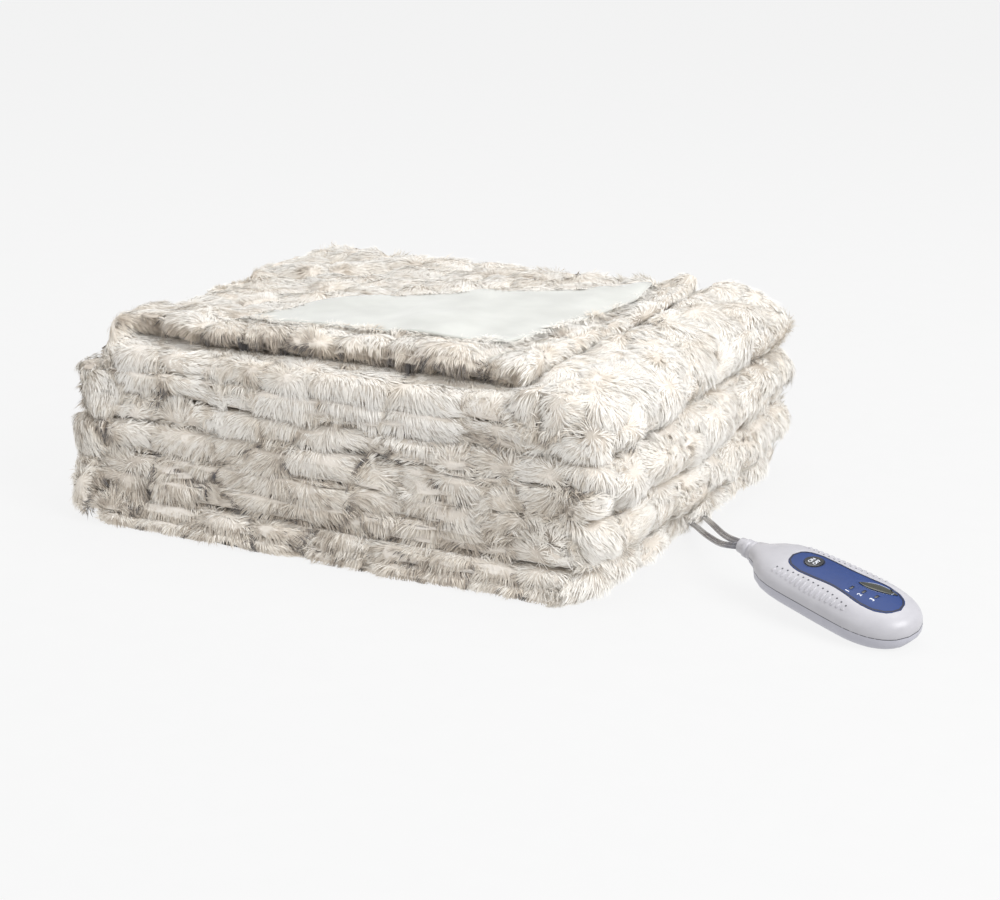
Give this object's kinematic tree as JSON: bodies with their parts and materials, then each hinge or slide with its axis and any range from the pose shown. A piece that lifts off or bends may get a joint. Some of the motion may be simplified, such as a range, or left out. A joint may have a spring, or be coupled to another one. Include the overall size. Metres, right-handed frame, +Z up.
{
  "type": "electric heated blanket",
  "caption": "Folded faux-fur electric heated blanket with its top flap turned back over a plush lining, and a hand controller on flat leads.",
  "frame": {"origin": "middle of the folded stack's flat underside, on the surface it lies on", "axes": "+Z up; the stack's front is -Y and its bulged folds are at +X; the controller lies off the right-hand front corner"},
  "size_m": [0.7067, 0.4923, 0.1684],
  "materials": {
    "faux_fur": "ruched long-pile faux fur",
    "plush_lining": "short-pile plush",
    "shell_plastic": "moulded ABS, satin",
    "shell_plastic_low": "moulded ABS, satin",
    "inlay_blue": "gloss moulded plastic",
    "button_black": "moulded plastic",
    "button_olive": "moulded plastic",
    "indicator_window": "dark clear plastic",
    "lead_vinyl": "soft PVC",
    "blade_metal": "plain stamped"
  },
  "bodies": {
    "blanket": {"fur_throw": "faux_fur", "plush_lining": "plush_lining", "upper_shell": "shell_plastic", "lower_shell": "shell_plastic_low", "face_inlay": "inlay_blue", "indicator_1": "indicator_window", "indicator_2": "indicator_window", "indicator_3": "indicator_window", "lead_collar": "shell_plastic", "mains_lead": "lead_vinyl", "mains_coil": "lead_vinyl", "mains_tail": "lead_vinyl", "plug_body": "lead_vinyl", "plug_blade_wide": "blade_metal", "plug_blade_narrow": "blade_metal", "blanket_lead": "lead_vinyl", "blanket_coil": "lead_vinyl", "blanket_lead_end": "lead_vinyl"},
    "power_button": {"power_button": "button_black"},
    "heat_button": {"heat_button": "button_olive"}
  },
  "joints": [
    {"name": "power_press", "type": "slide", "parent": "blanket", "child": "power_button", "axis": [-0.0774, 0.213, -0.974], "range_m": [0, 0.0009], "stiffness_N_per_m": 300},
    {"name": "heat_press", "type": "slide", "parent": "blanket", "child": "heat_button", "axis": [-0.0774, 0.213, -0.974], "range_m": [0, 0.0009], "stiffness_N_per_m": 300}
  ]
}
